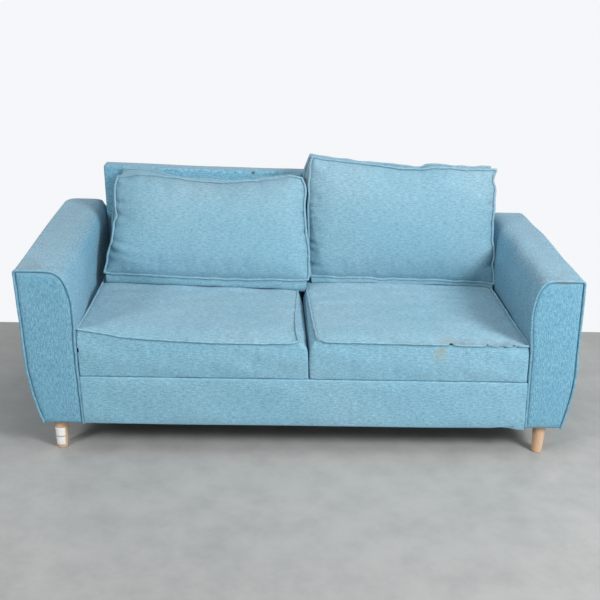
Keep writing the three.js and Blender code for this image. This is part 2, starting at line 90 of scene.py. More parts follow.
def run_along(line):
    """The length along a line of points, up to each of them."""
    steps = np.linalg.norm(np.diff(line, axis=0), axis=1)
    return np.concatenate([[0.0], np.cumsum(steps)])


def unit(vectors):
    """Vectors scaled to a length of one."""
    return vectors / np.linalg.norm(vectors, axis=-1, keepdims=True)


def resample(line, count):
    """A line as a number of evenly spaced points."""
    along = run_along(line)
    wanted = np.linspace(0.0, along[-1], count)
    return np.stack([np.interp(wanted, along, line[:, k]) for k in range(line.shape[1])], axis=1)


def spline(points, count):
    """A number of points along a smooth curve through a few points in millimetres."""
    knots = np.array(points, float) / 1000.0
    ends = np.vstack([2 * knots[0] - knots[1], knots, 2 * knots[-1] - knots[-2]])
    t = np.linspace(0.0, 1.0, 24, endpoint=False)[:, None]
    fine = []
    for i in range(len(knots) - 1):
        a, b, c, d = ends[i:i + 4]
        bend = (2 * a - 5 * b + 4 * c - d) * t ** 2 + (3 * b - a - 3 * c + d) * t ** 3
        fine.append(0.5 * (2 * b + (c - a) * t + bend))
    fine.append(knots[-1:])
    return resample(np.vstack(fine), count)


def patch(bottom, right, top, left):
    """A grid of points that fills four joined edges."""
    s = np.linspace(0.0, 1.0, len(bottom))[None, :, None]
    t = np.linspace(0.0, 1.0, len(left))[:, None, None]
    across = left[:, None] * (1 - s) + right[:, None] * s
    along = bottom[None] * (1 - t) + top[None] * t
    low = bottom[0] * (1 - s) + bottom[-1] * s
    high = top[0] * (1 - s) + top[-1] * s
    return across + along - low * (1 - t) - high * t


def border_of(grid):
    """The points around a grid, first along its first row and last along its first column."""
    return np.concatenate([grid[0, :], grid[1:, -1], grid[-1, -2::-1], grid[-2:0:-1, 0]])


def quads(corners):
    """Four neighbours of each cell of a grid of indices or coordinates."""
    return np.stack([corners[:-1, :-1], corners[:-1, 1:], corners[1:, 1:], corners[1:, :-1]], axis=2)


def grid_weave(grid, turned):
    """Flat cloth coordinates of a grid, with the weft along its rows, or its columns if turned."""
    rows, columns = grid.shape[:2]
    u, v = np.meshgrid(run_along(grid[rows // 2]), run_along(grid[:, columns // 2]))
    if turned:
        u, v = v, u
    return np.stack([u, v, np.zeros_like(u)], axis=2)


def stood(flat, y):
    """Flat points of X and Z, stood up at a depth."""
    return np.stack(np.broadcast_arrays(flat[..., 0], y, flat[..., 1]), axis=-1)


def level_grid(x, y):
    """A level grid of points at floor height."""
    x, y = np.meshgrid(x, y)
    return np.stack([x, y, np.zeros_like(x)], axis=2)


class Boxed:
    """A closed form: a front panel, a rear panel and any loops between their borders."""

    def __init__(self, front, rear, band=None, turned_panel=False, turned_band=False):
        if band is None:
            band = np.empty((0, len(border_of(front)), 3))
        count = front.shape[0] * front.shape[1]
        self.shape = front.shape[:2]
        self.points = np.concatenate([front.reshape(-1, 3), rear.reshape(-1, 3), band.reshape(-1, 3)])
        front_index = np.arange(count).reshape(self.shape)
        rear_index = front_index + count
        self.front_loop = border_of(front_index)
        self.rear_loop = border_of(rear_index)
        self.front_all = front_index.reshape(-1)
        self.rear_all = rear_index.reshape(-1)
        ring = len(self.front_loop)
        inner = np.arange(len(band) * ring).reshape(len(band), ring) + 2 * count
        loops = np.vstack([self.front_loop, inner, self.rear_loop])
        closed = np.concatenate([loops, loops[:, :1]], axis=1)
        band_faces = quads(closed)[..., [0, 3, 2, 1]]
        faces = [quads(front_index), quads(rear_index)[..., ::-1], band_faces]
        self.faces = np.concatenate([f.reshape(-1, 4) for f in faces])

        whole = np.concatenate([border_of(front)[None], band, border_of(rear)[None]])
        around = run_along(np.concatenate([whole[0], whole[0][:1]]))
        steps = np.linalg.norm(np.diff(whole, axis=0), axis=2).mean(axis=1)
        across = np.concatenate([[0.0], np.cumsum(steps)])
        around, across = np.meshgrid(around, across)
        if turned_band:
            around, across = across, around
        band_cloth = np.stack([around + 0.37, across + 0.53, np.zeros_like(across)], axis=2)
        cloth = [
            quads(grid_weave(front, turned_panel)),
            quads(grid_weave(rear, turned_panel) + 0.71)[:, :, ::-1],
            quads(band_cloth)[:, :, [0, 3, 2, 1]],
        ]
        self.weave = np.concatenate([c.reshape(-1, 3) for c in cloth])


def make_piece(name, points, faces, weave):
    """A smooth mesh object with its flat cloth coordinates."""
    mesh = bpy.data.meshes.new(name)
    mesh.from_pydata(points.tolist(), [], [list(f) for f in faces])
    layer = mesh.attributes.new("weave", "FLOAT_VECTOR", "CORNER")
    layer.data.foreach_set("vector", np.ascontiguousarray(weave, np.float32).reshape(-1))
    mesh.shade_smooth()
    piece = bpy.data.objects.new(name, mesh)
    scene.collection.objects.link(piece)
    return piece


def read_vectors(items, key):
    """A vector of each item of a mesh as an array."""
    values = np.empty(len(items) * 3)
    items.foreach_get(key, values)
    return values.reshape(-1, 3)


def read_points(mesh):
    """A mesh's points as an array."""
    return read_vectors(mesh.vertices, "co")


def write_points(mesh, points):
    """Puts an array of points back into a mesh."""
    mesh.vertices.foreach_set("co", np.ascontiguousarray(points, np.float32).reshape(-1))
    mesh.update()


def read_normals(mesh):
    """A mesh's point normals as an array."""
    return read_vectors(mesh.vertex_normals, "vector")


def leaned(points, stay=0.0):
    """Points moved sideways by their height, as the sofa has racked, less where it stays."""
    moved = np.array(points, float)
    moved[..., 0] += LEAN * (moved[..., 2] - LEAN_LEVEL) * (1.0 - stay)
    return moved


def tube(path, radius, closed, up, sides=8):
    """Points, faces and cloth coordinates of a round cord along a path, capped if open."""
    if closed:
        along = np.roll(path, -1, axis=0) - np.roll(path, 1, axis=0)
    else:
        along = np.gradient(path, axis=0)
    along = unit(along)
    side = unit(np.cross(along, up))
    rise = np.cross(side, along)
    turns = np.arange(sides) * math.tau / sides
    radius = np.broadcast_to(radius, len(path))
    size = radius * (1.0 + 0.07 * ripple(path, 0.05, 3.0))
    rings = side[:, None] * np.cos(turns)[:, None] + rise[:, None] * np.sin(turns)[:, None]
    points = (path[:, None] + rings * size[:, None, None]).reshape(-1, 3)
    count = len(path)
    index = np.arange(count * sides).reshape(count, sides)
    wrapped = np.concatenate([index, index[:, :1]], axis=1)
    run = run_along(path)
    if closed:
        wrapped = np.concatenate([wrapped, wrapped[:1]])
        run = np.append(run, run[-1] + np.linalg.norm(path[0] - path[-1]))
    faces = quads(wrapped).reshape(-1, 4)[:, ::-1].tolist()
    angle = np.arange(sides + 1) * math.tau / sides * radius.mean()
    cloth = np.stack(np.broadcast_arrays(run[:, None], angle[None, :], 0.0), axis=2)
    weave = quads(cloth).reshape(-1, 4, 3)[:, ::-1].reshape(-1, 3)
    if not closed:
        faces += [index[0].tolist(), index[-1][::-1].tolist()]
        weave = np.concatenate([weave, np.zeros((2 * sides, 3))])
    return points, faces, weave


def joined(parts):
    """Points, faces and cloth coordinates of several parts as one."""
    points, faces, weave = [], [], []
    start = 0
    for part_points, part_faces, part_weave in parts:
        points.append(part_points)
        weave.append(part_weave)
        faces += [[i + start for i in f] for f in part_faces]
        start += len(part_points)
    return np.concatenate(points), faces, np.concatenate(weave)


def make_tubes(name, tubes):
    """One piece of several tubes, which leans with the upholstery."""
    points, faces, weave = joined(tubes)
    return make_piece(name, leaned(points), faces, weave)


def seam_shade(points, lines, width):
    """How close each point is to a seam line: 1 on it and 0 further away, for painting shadow along the
    seam.
    """
    line = np.concatenate(lines)
    tree = KDTree(len(line))
    for number, point in enumerate(line):
        tree.insert(point, number)
    tree.balance()
    far = np.array([tree.find(p)[2] for p in points])
    return np.exp(-(far / width) ** 2)


def set_tone(piece, rule, lines=(), width=0.004, depth=1.0):
    """Stores how faded and dirty each point is, by a rule, and how close to a seam. The fade is partly real
    fading and partly a painted highlight on upward faces; the seam value paints shadow along the seams.
    """
    mesh = piece.data
    points = read_points(mesh)
    fade_and_top_highlight, dirt = rule(points, read_normals(mesh))
    seam = depth * seam_shade(points, lines, width) if len(lines) else np.zeros(len(points))
    for name, values in (("fade_and_top_highlight", fade_and_top_highlight), ("dirt", dirt), ("seam", seam)):
        layer = mesh.attributes.new(name, "FLOAT", "POINT")
        layer.data.foreach_set("value", np.clip(values, 0.0, 1.0).astype(np.float32))


def inflate(piece, held, pressure, growth, bending, caps, frames=20):
    """A cover's points, swollen by cloth simulation with held seams, each up to its cap."""
    start = read_points(piece.data)
    group = piece.vertex_groups.new(name="held")
    group.add([int(i) for i in held], 1.0, "REPLACE")
    cloth = piece.modifiers.new("Cloth", "CLOTH")
    settings = {
        "quality": 6, "mass": 0.3, "tension_stiffness": 18, "compression_stiffness": 18,
        "shear_stiffness": 6, "bending_stiffness": bending, "air_damping": 4,
        "vertex_group_mass": "held", "use_pressure": True, "uniform_pressure_force": pressure,
        "shrink_min": -growth,
    }
    for key, value in settings.items():
        setattr(cloth.settings, key, value)
    cloth.settings.effector_weights.gravity = 0.0
    cloth.collision_settings.use_collision = False
    cloth.point_cache.frame_end = frames
    for number in range(1, frames + 1):
        scene.frame_set(number)
    evaluated = piece.evaluated_get(bpy.context.evaluated_depsgraph_get())
    move = read_points(evaluated.data) - start
    piece.modifiers.remove(cloth)
    piece.vertex_groups.remove(group)
    scene.frame_set(1)
    far = np.maximum(np.linalg.norm(move, axis=1), 1e-9)
    eased = caps * np.tanh(far / caps)
    return start + move * (eased / far)[:, None]


def refine(piece):
    """One smooth subdivision, applied to the mesh."""
    modifier = piece.modifiers.new("Smooth", "SUBSURF")
    modifier.levels = 1
    apply_modifiers(piece)


def apply_modifiers(piece):
    """Replaces a piece's mesh by what its modifiers make of it."""
    bpy.context.view_layer.update()
    graph = bpy.context.evaluated_depsgraph_get()
    made = piece.evaluated_get(graph)
    mesh = bpy.data.meshes.new_from_object(made, preserve_all_data_layers=True, depsgraph=graph)
    old = piece.data
    piece.modifiers.clear()
    piece.data = mesh
    mesh.name = piece.name
    bpy.data.meshes.remove(old)


# Materials

def new_material(name):
    """A material, its tree and principled shader, and the object's coordinates."""
    material = bpy.data.materials.new(name)
    material.use_nodes = True
    tree = material.node_tree
    place = tree.nodes.new("ShaderNodeTexCoord").outputs["Object"]
    return material, tree, tree.nodes["Principled BSDF"], place


def feed(tree, node, inputs):
    """Sets or links the inputs of a node."""
    for key, value in inputs.items():
        if isinstance(value, bpy.types.NodeSocket):
            tree.links.new(value, node.inputs[key])
        else:
            node.inputs[key].default_value = value


def add_node(tree, kind, inputs=None, **settings):
    """A node with its settings and inputs."""
    made = tree.nodes.new(kind)
    for key, value in settings.items():
        setattr(made, key, value)
    feed(tree, made, inputs or {})
    return made


def calc(tree, operation, first, second=0.0, third=0.0):
    """The result of a math node."""
    return add_node(tree, "ShaderNodeMath", {0: first, 1: second, 2: third}, operation=operation).outputs[0]


def weighted(tree, *terms):
    """The sum of values, each times its weight."""
    total = 0.0
    for value, weight in terms:
        total = calc(tree, "MULTIPLY_ADD", value, weight, total)
    return total


def noise(tree, vector, scale, detail=2.0, roughness=0.5):
    """The value of a noise texture."""
    inputs = {"Vector": vector, "Scale": scale, "Detail": detail, "Roughness": roughness}
    return add_node(tree, "ShaderNodeTexNoise", inputs).outputs["Fac"]


def stretched(tree, vector, scale):
    """Coordinates scaled along each axis."""
    return add_node(tree, "ShaderNodeVectorMath", {0: vector, 1: scale}, operation="MULTIPLY").outputs[0]


def blend_colour(tree, share, first, second):
    """Two colours mixed by a share."""
    return add_node(tree, "ShaderNodeMix", {0: share, 6: first, 7: second}, data_type="RGBA").outputs[2]


def ranged(tree, value, low, high, to_low=0.0, to_high=1.0):
    """A value moved from one range to another, softly and clamped."""
    inputs = {0: value, 1: low, 2: high, 3: to_low, 4: to_high}
    return add_node(tree, "ShaderNodeMapRange", inputs, interpolation_type="SMOOTHSTEP").outputs[0]


def attribute(tree, name, output):
    """A stored value of the mesh."""
    return add_node(tree, "ShaderNodeAttribute", attribute_name=name).outputs[output]


def shade(colour, share):
    """A lighter or darker colour."""
    return (colour[0] * share, colour[1] * share, colour[2] * share, 1.0)


def bumped(tree, height, strength, distance):
    """A surface normal made uneven by a height."""
    inputs = {"Height": height, "Strength": strength, "Distance": distance}
    return add_node(tree, "ShaderNodeBump", inputs).outputs[0]


def mark_share(tree, place, centre, radii, wobble):
    """How much a mark covers a point: 1 in its middle and 0 outside, with an uneven edge."""
    offset = add_node(tree, "ShaderNodeVectorMath", {0: place, 1: centre}, operation="SUBTRACT").outputs[0]
    scaled = stretched(tree, offset, [1 / radius for radius in radii])
    far = add_node(tree, "ShaderNodeVectorMath", {0: scaled}, operation="LENGTH").outputs["Value"]
    return ranged(tree, weighted(tree, (wobble, 0.9), (far, 1.0)), 0.9, 1.5, 1.0, 0.0)


def fabric(name, dark, light, faded, marks=()):
    """Woven cloth with slubs, worn and dirty places, marks, paler tops that are partly a painted highlight,
    and painted shadow along the seams.
    """
    material, tree, shader, place = new_material(name)
    weave = attribute(tree, "weave", "Vector")
    fade_and_top_highlight, dirt, seam = [attribute(tree, key, "Fac") for key in ("fade_and_top_highlight", "dirt", "seam")]

    slub = noise(tree, stretched(tree, weave, (62.0, 225.0, 1.0)), 1.0, 4.0, 0.7)
    grain = noise(tree, stretched(tree, weave, (190.0, 280.0, 1.0)), 1.0, 4.0, 0.75)
    blotch = noise(tree, place, 5.5, 3.0, 0.55)
    broad = noise(tree, place, 23.0, 5.0, 0.7)
    parts = add_node(tree, "ShaderNodeSeparateXYZ", {0: weave}).outputs
    warp, weft = [
        calc(tree, "SINE", calc(tree, "MULTIPLY", parts[k], math.tau / THREAD_PITCH)) for k in range(2)
    ]
    thread = calc(tree, "MULTIPLY", warp, weft)

    tone = ranged(tree, weighted(tree, (slub, 0.9), (grain, 0.9), (thread, 0.05)), 0.72, 1.08)
    colour = blend_colour(tree, tone, dark, light)
    pale = blend_colour(tree, tone, shade(faded, 0.7), shade(faded, 1.2))
    # Paler where the fade value is high: partly real fading, partly a painted highlight on upward faces.
    worn_and_highlit = ranged(tree, weighted(tree, (blotch, 0.5), (fade_and_top_highlight, 1.0)), 0.25, 1.25, 0.0, 0.8)
    colour = blend_colour(tree, worn_and_highlit, colour, pale)
    colour = blend_colour(tree, ranged(tree, broad, 0.3, 0.75, 0.0, 0.22), colour, shade(dark, 0.85))
    # Painted shadow along the seams: darker where the seam value is high.
    colour = blend_colour(tree, calc(tree, "MULTIPLY", seam, 0.8), colour, shade(dark, 0.3))
    soiled = calc(tree, "MULTIPLY", dirt, ranged(tree, noise(tree, place, 14.0, 4.0, 0.65), 0.35, 0.7))
    colour = blend_colour(tree, soiled, colour, DIRT)
    wobble = noise(tree, place, 160.0, 3.0, 0.6)
    for centre, radii, mark_colour, strength in marks:
        share = calc(tree, "MULTIPLY", mark_share(tree, place, centre, radii, wobble), strength)
        colour = blend_colour(tree, share, colour, mark_colour)

    height = weighted(tree, (thread, 0.35), (slub, 0.6))
    feed(tree, shader, {
        "Base Color": colour,
        "Normal": bumped(tree, height, 0.45, 0.0007),
        "Roughness": ranged(tree, grain, 0.2, 0.8, 0.82, 0.97),
        "Specular IOR Level": 0.2,
        "Sheen Weight": 0.12,
        "Sheen Roughness": 0.45,
        "Sheen Tint": (0.85, 0.95, 1.0, 1.0),
    })
    return material


def timber(name, dark, light, rough, length_axis):
    """Wood with grain along one axis."""
    material, tree, shader, place = new_material(name)
    scale = [28.0, 28.0, 28.0]
    scale[length_axis] = 2.2
    grain = noise(tree, stretched(tree, place, scale), 1.0, 4.0, 0.6)
    scale = [240.0, 240.0, 240.0]
    scale[length_axis] = 14.0
    fleck = noise(tree, stretched(tree, place, scale), 1.0, 3.0, 0.6)
    wave = calc(tree, "SINE", weighted(tree, (grain, 28.8), (fleck, 2.56)))
    rings = calc(tree, "MULTIPLY_ADD", wave, 0.3, 0.5)
    share = weighted(tree, (fleck, 0.5), (rings, 0.5))
    feed(tree, shader, {
        "Base Color": blend_colour(tree, share, dark, light),
        "Roughness": ranged(tree, fleck, 0.2, 0.8, rough - 0.08, rough + 0.1),
        "Normal": bumped(tree, fleck, 0.25, 0.0004),
    })
    return material


def mottled(name, dark, light, scale, rough, metal=0.0, depth=0.0004):
    """A fibrous or cast surface with uneven tone."""
    material, tree, shader, place = new_material(name)
    fine = noise(tree, place, scale, 4.0, 0.65)
    broad = noise(tree, place, scale * 0.06, 3.0, 0.5)
    tone = weighted(tree, (fine, 0.6), (broad, 0.5))
    feed(tree, shader, {
        "Base Color": blend_colour(tree, ranged(tree, tone, 0.3, 0.8), dark, light),
        "Roughness": ranged(tree, fine, 0.2, 0.8, rough - 0.06, rough + 0.06),
        "Normal": bumped(tree, fine, 0.35, depth),
        "Metallic": metal,
    })
    return material


COVER_DARK = (0.085, 0.245, 0.36, 1.0)
COVER_LIGHT = (0.215, 0.45, 0.575, 1.0)
COVER_FADED = (0.255, 0.42, 0.525, 1.0)
CUSHION_DARK = (0.125, 0.3, 0.405, 1.0)
CUSHION_LIGHT = (0.27, 0.49, 0.605, 1.0)
CUSHION_FADED = (0.3, 0.475, 0.575, 1.0)
PILLOW_DARK = (0.13, 0.288, 0.378, 1.0)
PILLOW_LIGHT = (0.23, 0.414, 0.509, 1.0)
PILLOW_FADED = (0.28, 0.428, 0.512, 1.0)
BROWN = (0.23, 0.15, 0.08, 1.0)
GREY = (0.13, 0.17, 0.19, 1.0)
SPOT = (0.05, 0.07, 0.08, 1.0)
DIRT = (0.16, 0.17, 0.16, 1.0)
STAIN = (0.32, 0.35, 0.27, 1.0)

cover_cloth = fabric("cover cloth", COVER_DARK, COVER_LIGHT, COVER_FADED, [
    ((0.815, -0.421, 0.634), (0.05, 0.012, 0.005), BROWN, 0.45),
    ((-0.189, 0.351, 0.79), (0.01, 0.016, 0.009), SPOT, 0.85),
])
cushion_cloth = fabric("cushion cloth", CUSHION_DARK, CUSHION_LIGHT, CUSHION_FADED, [
    ((0.432, -0.421, 0.378), (0.034, 0.03, 0.036), STAIN, 0.22),
    ((0.441, -0.421, 0.388), (0.02, 0.03, 0.022), STAIN, 0.32),
    ((0.441, -0.421, 0.39), (0.01, 0.03, 0.014), BROWN, 0.18),
    ((0.45, -0.402, 0.424), (0.05, 0.03, 0.01), STAIN, 0.36),
    ((0.4, -0.421, 0.406), (0.005, 0.02, 0.005), BROWN, 0.3),
    ((0.571, -0.421, 0.393), (0.005, 0.02, 0.005), BROWN, 0.25),
    ((-0.343, -0.158, 0.436), (0.014, 0.014, 0.02), GREY, 0.22),
    ((-0.421, -0.325, 0.432), (0.016, 0.012, 0.02), GREY, 0.2),
    ((-0.25, -0.21, 0.436), (0.06, 0.03, 0.02), GREY, 0.07),
])
pillow_cloth = fabric("back cushion cloth", PILLOW_DARK, PILLOW_LIGHT, PILLOW_FADED)
# Near-black inside of the openings: dark lining with painted shade of the hollow.
torn_lining_and_shade = mottled("torn inside", (0.012, 0.022, 0.03, 1.0), (0.03, 0.05, 0.06, 1.0), 420.0, 0.9)
beech = timber("beech", (0.5, 0.31, 0.175, 1.0), (0.72, 0.5, 0.32, 1.0), 0.5, 2)
pine = timber("pine", (0.45, 0.29, 0.15, 1.0), (0.66, 0.47, 0.27, 1.0), 0.7, 0)
board = timber("plywood", (0.36, 0.25, 0.15, 1.0), (0.55, 0.41, 0.27, 1.0), 0.7, 1)
steel = mottled("zinc steel", (0.42, 0.43, 0.44, 1.0), (0.62, 0.63, 0.64, 1.0), 90.0, 0.38, 1.0, 0.0001)
felt = mottled("felt", (0.1, 0.1, 0.105, 1.0), (0.24, 0.235, 0.23, 1.0), 700.0, 0.95)
webbing = mottled("webbing", (0.03, 0.03, 0.032, 1.0), (0.1, 0.1, 0.1, 1.0), 520.0, 0.85)
lining = mottled("dust lining", (0.012, 0.012, 0.013, 1.0), (0.035, 0.035, 0.037, 1.0), 800.0, 0.95)
paper = mottled("blank paper", (0.72, 0.72, 0.71, 1.0), (0.88, 0.88, 0.87, 1.0), 260.0, 0.75, 0.0, 0.0001)
concrete = mottled("floor", (0.285, 0.295, 0.29, 1.0), (0.38, 0.385, 0.38, 1.0), 9.0, 0.8)


def finish_piece(piece, material, nodes=()):
    """Gives a piece its material and slot and its body, and hides the CAD nodes that it stands for."""
    if not piece.data.materials:
        piece.data.materials.append(material)
    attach(piece, "root")
    if nodes:
        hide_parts(*nodes)


# Padded covers of the arms, the back, the front border and the outside back

def rounding(z, top, size):
    """How far a rounded edge has drawn in at a height: 0 below it and 1 at its top."""
    rise = np.clip((z - (top - size)) / size, 0.0, 1.0)
    return 1.0 - np.sqrt(1.0 - rise ** 2)


def arm_outline(extra):
    """Heights of an arm facing's rows, with the inner and outer edge at each, on the right."""
    turn = np.linspace(0.0, math.pi / 2, 400)
    roll = np.stack([
        ARM_INNER + 0.084 * (1.0 - np.cos(turn) ** (2 / 3)),
        ROLL_LEVEL + (ARM_TOP - ROLL_LEVEL) * np.sin(turn) ** (2 / 3),
    ], axis=1)
    roll = resample(roll, 26)
    low = np.linspace(BASE, ROLL_LEVEL, 26)[:-1]
    z = np.concatenate([low, roll[:, 1]])
    inner = np.concatenate([np.full(len(low), ARM_INNER), roll[:, 0]])
    inner -= 0.007 * ramp(0.36, 0.5, z) * (1.0 - ramp(0.52, 0.6, z))
    outer = ARM_OUTER - 0.033 * np.clip((0.32 - z) / 0.21, 0.0, 1.0) ** 1.7
    outer -= 0.012 * rounding(z, ARM_TOP, 0.012)
    return z, inner, outer + extra


def inset(loop, amount):
    """A flat closed loop moved inwards."""
    way = np.roll(loop, -1, axis=0) - np.roll(loop, 1, axis=0)
    return loop - unit(np.stack([way[:, 1], -way[:, 0]], axis=1)) * amount


def edge_steps(count):
    """Steps from 0 to 1 that lie closer together near both ends."""
    even = np.linspace(0.0, 1.0, count)
    return 0.75 * (0.5 - 0.5 * np.cos(math.pi * even)) + 0.25 * even


def facing(low, high, z, columns):
    """A flat grid between two edges, row by row."""
    s = edge_steps(columns)[None, :]
    a = low[:, None] * (1 - s) + high[:, None] * s
    return np.stack([a, np.broadcast_to(z[:, None], a.shape)], axis=2)


def edge_distance(grid):
    """How far each point of a facing is from the facing's border."""
    sides = np.minimum(grid[:, :, 0] - grid[:, :1, 0], grid[:, -1:, 0] - grid[:, :, 0])
    ends = np.minimum(grid[:, :, 1] - grid[:1, :, 1].min(), grid[-1:, :, 1].max() - grid[:, :, 1])
    return np.maximum(np.minimum(sides, ends), 0.0)


def shrunk(grid, amount):
    """A facing with its border moved inwards and straight rows between."""
    rows, columns = grid.shape[:2]
    loop = inset(border_of(grid), amount)
    left = np.vstack([loop[:1], loop[2 * columns + rows - 3:][::-1]])
    right = loop[columns - 1:columns + rows - 1]
    s = edge_steps(columns)[None, :, None]
    made = left[:, None] * (1 - s) + right[:, None] * s
    made[0] = loop[:columns]
    made[-1] = loop[columns + rows - 2:2 * columns + rows - 2][::-1]
    return made


def drawn_in(outline, share, drop):
    """An arm's outline drawn in at its top outer corner and lowered, for the rounded rear end."""
    high = ramp(0.622, ARM_TOP, outline[..., 1])
    x = ARM_INNER + (outline[..., 0] - ARM_INNER) * (1.0 - (0.03 + 0.3 * high) * share)
    z = BASE + (outline[..., 1] - BASE) * (1.0 - drop * share)
    return np.stack([x, z], axis=-1)


def make_arm(side):
    """A padded arm cover with its front and rear facings, and the piping round the front one."""
    left = side == "left"
    sign = -1.0 if left else 1.0
    heights, inner, outer = arm_outline(0.006 if left else 0.0)
    drop = 0.01 if left else 0.036
    grid = facing(inner, outer, heights, ARM_COLUMNS)
    loop = border_of(grid)
    panel = shrunk(grid, 0.008)
    swell = 0.0055 * (1.0 - np.exp(-edge_distance(panel) / 0.005))
    front = stood(panel, FRONT + 0.0065 - swell)
    rear = stood(drawn_in(grid, 1.12, drop), REAR)
    band = []
    for amount, y in ((0.003, FRONT + 0.0055), (0.0012, FRONT + 0.008), (0.0, FRONT + 0.012)):
        band.append(stood(inset(loop, amount), y))
    for y in np.linspace(FRONT + 0.02, REAR - 0.054, 60):
        band.append(stood(loop, y))
    for turn in np.linspace(0.1, math.pi / 2, 12):
        ring = drawn_in(loop, 1.0 - math.cos(turn), drop)
        band.append(stood(ring, REAR - 0.048 + 0.048 * math.sin(turn)))
    form = Boxed(front, rear, np.array(band), turned_panel=True, turned_band=True)
    points, faces, weave = form.points, form.faces, form.weave
    x, y, z = points.T
    away = ramp(BASE, BASE + 0.1, z) * ramp(0.0, 0.05, y - FRONT) * ramp(0.0, 0.05, REAR - y)
    x += 0.0022 * away * ripple(points, 0.34, 1.0 + sign)
    z += 0.0026 * away * ripple(points, 0.3, 4.0 + sign)
    beside_back = ramp(0.22, 0.27, y)
    x += beside_back * np.maximum(ARM_INNER + 0.001 - x, 0.0)
    path = stood(inset(loop, 0.003), FRONT + ARM_PIPING)
    path = resample(np.vstack([path[ARM_COLUMNS - 1:], path[:1]]), 380)
    path[:, 0] += 0.0007 * ripple(path, 0.07, 2.0 + sign)
    path[:, 1] += 0.0006 * ripple(path, 0.05, 5.0 + sign)
    cord_points, cord_faces, cord_weave = tube(path, ARM_PIPING, False, (0.0, 1.0, 0.0))
    if left:
        hollow = ramp(-0.3, 0.0, y) * ramp(0.3, 0.2, y) * ramp(0.62, 0.5, z) * ramp(0.34, 0.42, z)
        x += 0.02 * hollow * ramp(0.06, 0.0, x - ARM_INNER)
        z += 0.012 * ramp(FRONT + 0.05, REAR - 0.05, y) * ramp(BASE + 0.2, ARM_TOP, z)
        beside_seat = ramp(-0.405, -0.385, y) * ramp(0.295, 0.275, z)
        stay = beside_seat * ramp(0.06, 0.01, x - ARM_INNER)
        x *= -1
        faces = faces[:, ::-1]
        weave = weave.reshape(-1, 4, 3)[:, ::-1].reshape(-1, 3)
        cord_points[:, 0] *= -1
        cord_faces = [f[::-1] for f in cord_faces]
    else:
        stay = ramp(-0.38, 0.1, y)
    cover = make_piece(f"arm_{side}_upholstery", leaned(points, stay), faces, weave)
    piping = make_tubes(f"arm_{side}_piping", [(cord_points, cord_faces, cord_weave)])

    def tone(points, normals):
        # Paler on upward faces and at the front of the inner side: partly real fading, partly a painted
        # highlight where light falls on the top. Dirty on the top near the front.
        top = ramp(0.35, 0.95, normals[:, 2])
        inner_side = ramp(0.2, 0.9, -sign * normals[:, 0]) * ramp(0.1, -0.3, points[:, 1])
        near = ramp(FRONT + 0.14, FRONT, points[:, 1])
        return 0.15 + 0.85 * top + 0.35 * inner_side, 0.35 * top * near + 0.1 * top

    edge = border_of(front)[ARM_COLUMNS:] * np.array([sign, 1.0, 1.0])
    # Painted shadow in the seam round the front facing.
    set_tone(cover, tone, [leaned(edge)], 0.0024, 0.42)
    set_tone(piping, tone)
    finish_piece(cover, cover_cloth, [f"arm_{side}_cover"])
    finish_piece(piping, cover_cloth)


def back_face(z):
    """Where the front of the back is, at a height."""
    return 0.267 + (z - 0.282) * 0.166


def back_stay(x):
    """How much the back stays straight, which it does at its right end."""
    return ramp(0.3, 0.68, x)


def make_back():
    """The padded back, with a softly rounded top edge that sags a little towards the middle."""
    heights = np.concatenate([np.linspace(0.2825, 0.74, 22)[:-1], np.linspace(0.74, BACK_TOP, 22)])
    low = back_face(heights) + 0.011 * rounding(heights, BACK_TOP, 0.012)
    high = 0.4215 - 0.012 * rounding(heights, BACK_TOP, 0.014)
    grid = facing(low, high, heights, 14)
    loop = border_of(grid)
    radius = 0.009
    turns = np.linspace(0.0, math.pi / 2, 6)
    places = [(radius * (1 - math.sin(t)), BACK_END - radius * (1 - math.cos(t))) for t in turns]
    places += [(0.0, x) for x in np.linspace(0.7, -0.7, 90)]
    places += [(amount, -x) for amount, x in places[5::-1]]

    def across(flat, x):
        return np.stack(np.broadcast_arrays(x, flat[..., 0], flat[..., 1]), axis=-1)

    panel = shrunk(grid, radius + 0.002)
    end = BACK_END + 0.002 * (1.0 - np.exp(-edge_distance(panel) / 0.02))
    band = np.array([across(inset(loop, amount), x) for amount, x in places])
    form = Boxed(across(panel, end), across(panel, -end), band, turned_band=True)
    points = form.points
    x, y, z = points.T
    high_part = ramp(0.6, 0.8, z)
    z += high_part * (0.005 * np.abs(x / BACK_END) ** 2 - 0.004 * (1 - np.abs(x)))
    free = ramp(0.3, 0.42, z) * ramp(0.42, 0.4, y)
    y -= 0.003 * free * ripple(points, 0.42, 7.0)
    z += 0.0018 * high_part * ripple(points, 0.25, 8.0)
    cover = make_piece("back_upholstery", leaned(points, back_stay(x)), form.faces, form.weave)

    def tone(points, normals):
        # Paler on the top edge: partly real fading, partly a painted highlight where light falls on it.
        top = ramp(0.4, 0.95, normals[:, 2])
        return 0.15 + 0.75 * top, 0.04 * top

    set_tone(cover, tone)
    finish_piece(cover, cover_cloth, ["back_cover"])


def panel_form(x_span, z_span, front, rear, columns, rows, edge):
    """A padded panel that stands upright, with rounded edges."""
    flat = np.stack(np.meshgrid(np.linspace(*x_span, columns), np.linspace(*z_span, rows)), axis=2)
    loop = border_of(flat)
    places = ((edge * 0.3, front + edge * 0.3), (0.0, front + edge), (0.0, rear - 0.0006))
    band = np.array([stood(inset(loop, amount), y) for amount, y in places])
    return Boxed(stood(shrunk(flat, edge), front), stood(shrunk(flat, 0.0006), rear), band)


